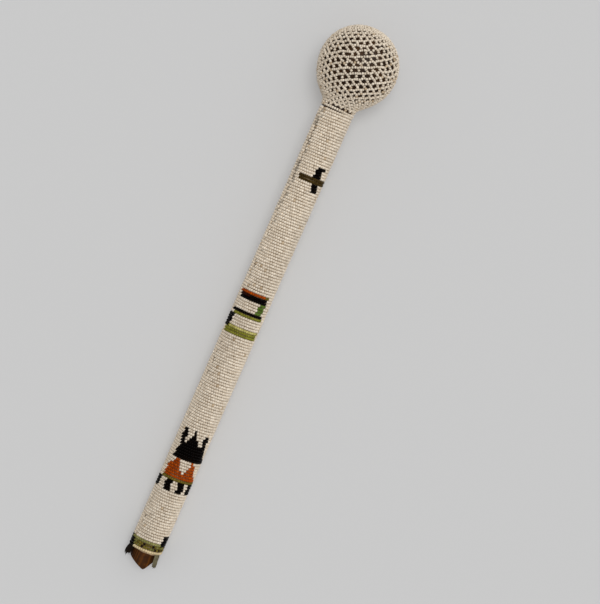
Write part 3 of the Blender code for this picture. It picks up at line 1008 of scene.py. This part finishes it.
def clothFibres(name, tab, middle, outward):
    # Loose threads that leave the ragged edge, curl a little and taper to nothing.
    chance = np.random.default_rng(tab["seed"] + 5)
    count, steps, last, final = tab["fibres"], 8, cloth["rows"] - 1, cloth["columns"] - 1
    row = np.where(chance.random(count) < 0.75, last, chance.integers(20, last, count))
    column = np.where(row < last, chance.choice([0, final], count), chance.integers(0, final + 1, count))
    start, out = middle[row, column], outward[row, column]
    sideways = np.cross([0, 0, 1], out)
    lean = 0.9 * ((column == final) * 1.0 - (column == 0)) + chance.normal(0, 0.5, count)
    outwards = chance.normal(0, 0.12, (count, 1)) * out
    heading = unit(lean[:, None] * sideways + np.array([0, 0, -1.0]) + outwards)
    share = np.linspace(-0.3, 1, steps)[None, :, None]
    reach = chance.uniform(*cloth["fibreLengths"], (count, 1, 1))
    curl = chance.normal(0, 0.35, (count, 1, 1)) * reach * share**2
    path = start[:, None] + heading[:, None] * reach * share + curl * sideways[:, None]
    width = cloth["fibre"] * (1.08 - np.clip(share[..., 0], 0, 1))
    threads = tubes(path, np.broadcast_to(out[:, None], path.shape), width, sides=4)
    return makePiece(name, threads, tab["material"], uv=np.zeros((len(threads[0]), 2)))


print("cloth tabs")
for name, tab in tabs.items():
    clothTab(name, tab)


head = {
    "radius": 32.3 * mm,
    "depth": 35.6 * mm,  # from the equator to where the lower ellipse would close
    "neck": 14.3 * mm,
    "blend": 4.8,
    "netStart": 401.2 * mm,
    "netThickness": 2.0 * mm,
    "gourdStart": 400.0 * mm,
    "gourdWall": 3.0 * mm,
    "gap": 0.3 * mm,
    "aside": 1.4 * mm,  # the gourd grew a little to the right of its neck
    "lobes": 0.14 * mm,
    "dents": 0.07 * mm,
    "bulge": 0.12 * mm,  # no place stands out further
    "skin": 0.15 * mm,  # more room under the net for the lobes
    "ringUnder": 1.1 * mm,  # how far the crown ring's middle lies under the top of the net
    "columns": 144,
}
head["centre"] = stationOf("crown_ring") + head["ringUnder"] - head["radius"]


def headRadius(station):
    # Round above the equator and an ellipse below it, joined to the neck by a power mean of the two radii.
    fromCentre = station - head["centre"]
    depth = np.where(fromCentre > 0, head["radius"], head["depth"])
    ball = head["radius"] * np.sqrt(np.clip(1 - (fromCentre / depth) ** 2, 0, 1))
    neck = np.where(fromCentre > 0, 0, head["neck"])
    return (ball ** head["blend"] + neck ** head["blend"]) ** (1 / head["blend"])


def headOutline(inset, start):
    # Points (radius, station) from the crown down to the start, at one depth under the net's outer surface.
    turn = np.linspace(0, np.pi / 2, 400)[1:]
    upper = np.column_stack([head["radius"] * np.sin(turn), head["centre"] + head["radius"] * np.cos(turn)])
    lower = head["centre"] - head["depth"] * np.sin(np.linspace(0, math.radians(78), 400)[1:])
    lower = np.concatenate([lower, np.linspace(lower[-1], start - 6 * mm, 100)[1:]])
    surface = np.concatenate([upper, np.column_stack([headRadius(lower), lower])])
    run = unit(np.gradient(surface, axis=0))
    moved = surface + inset * np.column_stack([run[:, 1], -run[:, 0]])
    moved = moved[(moved[:, 1] >= start) & (moved[:, 0] > 0)]
    return np.concatenate([[(0, head["centre"] + head["radius"] - inset)], moved])


def asideAt(station):
    # How far the head stands to the right: nothing at the neck, all of it from halfway to the middle on.
    return head["aside"] * ramp(station, head["netStart"] + 2 * mm, head["centre"] - 8 * mm)


def lengthAlong(line):
    return np.concatenate([[0], np.cumsum(np.linalg.norm(np.diff(line, axis=0), axis=1))])


def evenly(outline, count):
    # The same line with evenly spaced points.
    length = lengthAlong(outline)
    marks = np.linspace(0, length[-1], count)
    return np.column_stack([np.interp(marks, length, outline[:, k]) for k in (0, 1)])


def gourdBall():
    # The hollow gourd: its outer outline down to the rim of the neck, then the inner one back up.
    under = head["netThickness"] + head["gap"]
    outer = evenly(headOutline(under + head["skin"], head["gourdStart"]), 110)
    inner = evenly(headOutline(under + head["gourdWall"], head["gourdStart"]), 80)[::-1]
    outline = np.concatenate([outer, inner])
    skin = len(outer) - 1

    def bend(grid):
        angle = np.arctan2(grid[..., 1], grid[..., 0])
        lobes = onStick(angle, 2.2, grid[..., 2] / (16 * mm))
        dents = onStick(angle, 11, grid[..., 2] / (3.5 * mm))
        uneven = head["lobes"] * unevenness(lobes, 51) + head["dents"] * unevenness(dents, 52)
        outside = np.arange(grid.shape[0])[:, None] < skin
        wide = np.hypot(grid[..., 0], grid[..., 1])
        uneven = np.where(outside, np.minimum(uneven, head["bulge"]), 0)
        grid[..., :2] *= (1 + uneven / np.maximum(wide, 2 * mm))[..., None]
        grid[..., 1] += np.where(outside, asideAt(grid[..., 2]), 0)
        return grid

    gourd = turnedSurface(outline, head["columns"], bend)
    makePiece("hollow_gourd", gourd, gourdSkin, replaces=["gourd_shell"], sharp=50)


net = {
    "columns": 38,  # strands cross on every other column
    "step": 2.6 * mm,  # along the outline, from one line of crossings to the next
    "across": 2.14 * mm,
    "long": 1.8 * mm,
    "pitch": 1.94 * mm,  # from bead to bead along a strand
    "pairs": 3.5 * mm,  # columns further apart than this cross in a pair of beads
    "base": 2.9 * mm,  # the first crossings' distance above the start of the outline
    "crown": 9.6 * mm,  # inside this radius the net closes in whole rounds of beads
    "opening": 5.9 * mm,
    "wander": 0.03,  # in columns and lines, how far a crossing strays
    "slack": (434.7 * mm, 451.7 * mm),  # the stations between which the mesh is looser
    "beadMiddles": 0.97 * mm,  # under the outline
    "lineStart": 1.2 * mm,  # how far below the net's own start the outline starts
    "firstRound": 1.1 * mm,  # above the outline's start
    "beadStray": 0.05 * mm,
    "tilt": 0.08,
    "full": 13.5 * mm,  # closer to the axis than this the lower net's beads are smaller
    "roundPitch": 2.0 * mm,
    "roundSpacing": 1.98 * mm,
    "acrossSpread": (0.04, 0.88, 1.06),
    "longSpread": (0.05, 0.86, 1.1),
    "stainedShare": 0.05,
    "thread": 0.2 * mm,
}


def netSurface(column, run, line):
    # Where a column number and a distance along the outline lie, the outline being the beads' middles.
    angle = column * 2 * np.pi / net["columns"]
    length = lengthAlong(line)
    radius, station = (np.interp(run, length, line[:, k]) for k in (0, 1))
    slope = [np.interp(run, length, np.gradient(line[:, k], length)) for k in (0, 1)]
    outward = unit(onStick(angle, slope[1], -slope[0]))
    centre = onStick(angle, radius, station)
    centre[..., 1] += asideAt(station)
    return centre, outward


def beadNet():
    # A lattice of crossings; from each one a strand runs up to the left and one up to the right.
    chance = np.random.default_rng(61)
    line = evenly(headOutline(net["beadMiddles"], head["netStart"] - net["lineStart"]), 800)[::-1]
    length = lengthAlong(line)
    reach = np.interp(-net["crown"], -line[400:, 0], length[400:])
    levels = int(round((reach - net["base"]) / net["step"]))
    step = (reach - net["base"]) / levels
    column, level = np.meshgrid(np.arange(net["columns"]), np.arange(levels + 1))
    radius, station = (np.interp(net["base"] + level * step, length, line[:, k]) for k in (0, 1))
    columnPitch = 2 * np.pi * radius / net["columns"]
    paired = columnPitch > net["pairs"]
    half = np.where(paired, 0.5 * net["pitch"] / columnPitch, 0)
    loose = 1 + 1.3 * ramp(station, net["slack"][0] - 4 * mm, net["slack"][0] + 3 * mm)
    loose = loose * (1 - 0.5 * ramp(station, net["slack"][1], net["slack"][1] + 8 * mm))
    spots = onStick(column / 6.05, 2.4, level / 2.6)
    drift = np.stack([unevenness(spots, 62), unevenness(spots, 63)], axis=-1)
    stray = (net["wander"] * (1.6 * drift + chance.normal(0, 1, drift.shape))) * loose[..., None]
    stray[[0, -1]] = 0
    nodeColumn = column + 1.3 * stray[..., 0]
    nodeRun = net["base"] + (level + 1.6 * stray[..., 1]) * step
    crossing = (column + level) % 2 == 1

    def beadsAt(columns, runs, columnStep, runStep):
        centre, outward = netSurface(columns, runs, line)
        ahead, _ = netSurface(columns + columnStep, runs + runStep, line)
        return centre, ahead - centre, outward

    sets, threads = [], []
    for side, chosen in ((-1, crossing), (1, crossing & paired)):
        tip = 0.12 * step * chance.normal(0, 1, chosen.sum())
        made = beadsAt((nodeColumn + side * half)[chosen], nodeRun[chosen] + side * tip, 0.2, 0.06 * step)
        sets.append((*made, np.ones(chosen.sum())))
    for side in (1, -1):
        leaves = crossing[:-1]
        row = level[:-1][leaves]
        other = (column[:-1][leaves] + side) % net["columns"]
        fromColumn, fromRun = (nodeColumn + side * half)[:-1][leaves], nodeRun[:-1][leaves]
        over = (nodeColumn - side * half)[row + 1, other] - fromColumn
        over = (over + net["columns"] / 2) % net["columns"] - net["columns"] / 2
        up = nodeRun[row + 1, other] - fromRun
        start, _ = netSurface(fromColumn, fromRun, line)
        end, _ = netSurface(fromColumn + over, fromRun + up, line)
        free = np.linalg.norm(end - start, axis=1) - net["pitch"]
        beadsHere = np.clip(np.round(free / net["pitch"]), 0, 2).astype(int)
        for most in (1, 2):
            on = beadsHere == most
            snug = np.clip(free[on] / most / net["pitch"], 0.8, 1.0)
            for k in range(most):
                share = (k + 1) / (most + 1) + chance.normal(0, 0.012, on.sum())
                columns, runs = fromColumn[on] + over[on] * share, fromRun[on] + up[on] * share
                sets.append((*beadsAt(columns, runs, over[on] * 0.1, up[on] * 0.1), snug))
        share = np.linspace(0, 1, 5)
        columns, runs = fromColumn[:, None] + np.outer(over, share), fromRun[:, None] + np.outer(up, share)
        threads.append(netSurface(columns, runs, line))

    # Whole rounds, each of as many beads as fit, start the net and close it towards the crown. The first one
    # leaves a narrow gap at the left of the front and sits on the handle's beads at the right.
    for run in (net["firstRound"], *np.arange(reach + net["roundPitch"], length[-1], net["roundPitch"])):
        radius = np.interp(run, length, line[:, 0])
        if radius < net["opening"]:
            break
        count = int(2 * np.pi * radius / net["roundSpacing"])
        columns = (np.arange(count) + chance.random()) / count * net["columns"]
        turn = columns * 2 * np.pi / net["columns"]
        close = 0.35 + 0.45 * ramp(np.sin(turn), -0.4, 0.4) + 0.12 * unevenness(turn[:, None] * 6, 65)
        sag = np.where(run < net["base"], close * mm, 0)
        centre, hole, outward = beadsAt(columns, run - sag, 0.4, 0.05 * mm)
        sets.append((centre, hole, outward, np.ones(count)))
    centre, hole, outward, snug = (np.concatenate(parts) for parts in zip(*sets))
    return centre, hole, outward, snug, threads, chance


def netPieces():
    # The net's beads in a lower and an upper piece, and the thread they are strung on.
    centre, hole, outward, snug, threads, chance = beadNet()
    count = len(centre)
    narrow = np.clip(np.hypot(centre[:, 0], centre[:, 1]) / net["full"], 0.86, 1)
    small = np.where(centre[:, 2] < head["centre"], narrow, 1)
    colour = whiteGlass(chance, count, net["stainedShare"])
    beads = {
        "centre": centre + outward * chance.normal(0, net["beadStray"], (count, 1)),
        "hole": unit(hole) + chance.normal(0, net["tilt"], (count, 3)),
        "outward": outward,
        "across": net["across"] * small * factors(chance, count, *net["acrossSpread"]),
        "long": net["long"] * snug * small * factors(chance, count, *net["longSpread"]),
        "colour": colour,
        # How much dust and painted shade lies low between the beads.
        "shadeAndDust": np.clip(chance.normal(0.8, 0.12, count), 0.4, 1),
    }
    lower = centre[:, 2] < head["centre"]
    for name, chosen in (("lower_net", lower), ("upper_net", ~lower)):
        makeBeads(name + "_beads", {label: data[chosen] for label, data in beads.items()}, name)
    paths, away = (np.concatenate(parts) for parts in zip(*threads))
    makePiece("net_thread", tubes(paths, away, net["thread"], sides=3), beadThread)


ring = {
    "beads": 10,
    "radius": 3.3 * mm,
    "lower": 0.1 * mm,
    "across": 1.95 * mm,
    "long": 1.75 * mm,
    # how much dust and painted shade lies low between the beads
    "shadeAndDust": 0.8,
}


def crownBeads():
    # A small ring of beads standing in the net's opening.
    angle = fullTurn(ring["beads"])
    toSide = np.array([0, head["aside"], 0])
    beads = {
        "centre": onStick(angle, ring["radius"], stationOf("crown_ring") - ring["lower"]) + toSide,
        "hole": aroundStick(angle),
        "outward": unit(onStick(angle, 0.6, 1.0)),
        "colour": pickGlass(np.random.default_rng(64), "white", ring["beads"]),
        **{label: np.full(ring["beads"], ring[label]) for label in ("across", "long", "shadeAndDust")},
    }
    makeBeads("crown_ring_beads", beads, "crown_ring")


binding = {
    "turns": 3,
    "steps": 60,
    "width": 1.15 * mm,
    "radius": 12.75 * mm,
    "uneven": (0.08 * mm, 0.1 * mm),  # along the stick, and outwards
    "thread": 0.3 * mm,
}


def neckBinding():
    # Turns of dark thread wound round the neck, side by side and slightly uneven.
    share = np.arange(binding["turns"] * binding["steps"] + 1) / binding["steps"]
    angle = share * 2 * np.pi
    spots = onStick(angle, 2, share * 3)
    station = stationOf("neck_binding") + (share / binding["turns"] - 0.5) * binding["width"]
    station = station + binding["uneven"][0] * unevenness(spots, 71)
    radius = binding["radius"] + binding["uneven"][1] * unevenness(spots * 1.7, 72)
    thread = windingThread(angle, radius, station, binding["thread"], 8)
    makePiece("neck_thread_turns", thread, darkThread, replaces=["neck_binding"])


print("head")
gourdBall()
netPieces()
crownBeads()
neckBinding()


seedSizes = {
    "rows": 19,
    "columns": 26,
    "halfWidths": (2.45 * mm, 2.1 * mm, 1.95 * mm),
    "smallest": 0.94,
    "scarAt": (0.9, 0.1, 0.45),
    "scarDepth": 0.07,
    "dents": 0.035,
    "egg": 0.12,  # how much wider one end is
}


def looseSeed(number):
    # An egg-shaped hard seed: three half-widths, a few dents, and a shallow scar on one side.
    node = f"seed_{number:02d}"
    chance = np.random.default_rng(80 + number)
    tip = np.linspace(0, np.pi, seedSizes["rows"])
    points, faces = turnedSurface(np.column_stack([np.sin(tip), np.cos(tip)]), seedSizes["columns"])
    scar = ramp(points @ unit(np.array(seedSizes["scarAt"])), 0.9, 0.97)
    dents = 1 + seedSizes["dents"] * unevenness(points * 2.4, 90 + number) - seedSizes["scarDepth"] * scar
    size = np.array(seedSizes["halfWidths"]) * chance.uniform(seedSizes["smallest"], 1.0)
    points = points * dents[:, None] * size * (1 + seedSizes["egg"] * points[:, :1] * [0, 1, 1])
    heading = chance.uniform(0, 2 * np.pi)
    side, ahead = math.sin(heading), math.cos(heading)
    place = middleOf(node) + points @ np.array([[ahead, side, 0], [-side, ahead, 0], [0, 0, 1]])
    makePiece("loose_" + node, (place, faces), seedCoat, body=node, replaces=[node], values={"scar": scar})


print("seeds")
for number in range(1, 13):
    looseSeed(number)

for node, material in (("neck_washer", washerLeather), ("neck_peg", pegWood)):
    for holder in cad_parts[node].material_slots:
        holder.material = material


studio = {
    "floorColour": (203, 203, 203),
    "floorSize": 24.0,
    "world": 0.385,
    "target": 248.9 * mm,  # the station that the middle of the view looks at
    "beside": 34.25 * mm,  # and how far to its right
    "distance": 1.44,
    "lens": 108.2,
    "toHead": math.radians(2.1),  # the camera stands this far from straight above, towards the head
    "roll": math.radians(23.75),  # the stick's lean from upright in the view
}


def makeFloor():
    # A plain sheet of pale paper: a flat grid with the faintest tooth.
    lines = 13
    steps = np.linspace(-0.5, 0.5, lines) * studio["floorSize"]
    across, along = np.meshgrid(steps, steps)
    mesh = bpy.data.meshes.new("paper_floor")
    points = np.stack([across, along, np.full(across.shape, -0.1 * mm)], axis=-1).reshape(-1, 3)
    mesh.from_pydata(points.tolist(), [], gridFaces(lines, lines, closedColumns=False).tolist())
    material, tree, shader = newMaterial("pale_paper", Roughness=0.95, Specular_IOR_Level=0.1)
    tooth = noise(tree, objectPlace(tree), 900.0, 3.0)
    pale = rgba(studio["floorColour"])
    mixed = mixColours(tree, tooth, pale, (*(0.97 * channel for channel in pale[:3]), 1.0))
    setSurface(tree, shader, mixed, tooth, 0.1, 0.0002)
    mesh.materials.append(material)
    addObject("paper_floor", mesh)


def makeCamera():
    # Looks down on the decorated front, turned so that the stick leans as far as it should.
    lean, roll = studio["toHead"], studio["roll"]
    back = np.array([math.sin(lean), 0, math.cos(lean)])
    ahead = unit(alongStick - back * (alongStick @ back))
    right = math.sin(roll) * ahead + math.cos(roll) * toRight
    up = np.cross(back, right)
    aim = buttTip + alongStick * studio["target"] + toRight * studio["beside"]
    data = bpy.data.cameras.new("camera")
    data.lens = studio["lens"]
    data.sensor_width = 36.0
    data.sensor_fit = "HORIZONTAL"
    data.clip_start = 0.05
    pose = np.eye(4)
    pose[:3] = np.stack([right, up, back, aim + back * studio["distance"]], axis=1)
    camera = addObject("camera", data)
    camera.matrix_world = Matrix(pose.tolist())
    bpy.context.scene.camera = camera
    return right, up, back


def makeLights(right, up, back):
    # A soft key from the upper right of the view that casts no shadow, a soft top light that casts its shadow
    # under the rattle, and an even sky. Both lamps are far away, so they light the whole floor alike.
    lamps = {
        "key_light": (0.7 * right + 0.4 * up + 0.8 * back, 50, 1.42, False),
        "top_light": (0.12 * right + 0.08 * up + back, 28, 0.97, True),
    }
    for name, (way, spreadAngle, strength, shadow) in lamps.items():
        data = bpy.data.lights.new(name, "SUN")
        data.angle = math.radians(spreadAngle)
        data.energy = strength
        data.use_shadow = shadow
        addObject(name, data).matrix_world = Vector(way.tolist()).to_track_quat("Z", "Y").to_matrix().to_4x4()
    world = bpy.data.worlds.new("even_sky")
    world.use_nodes = True
    sockets = {"Color": (1.0, 1.0, 1.0, 1.0), "Strength": studio["world"]}
    fill(world.node_tree, world.node_tree.nodes["Background"], sockets)
    bpy.context.scene.world = world


print("floor, camera and lights")
makeFloor()
makeLights(*makeCamera())
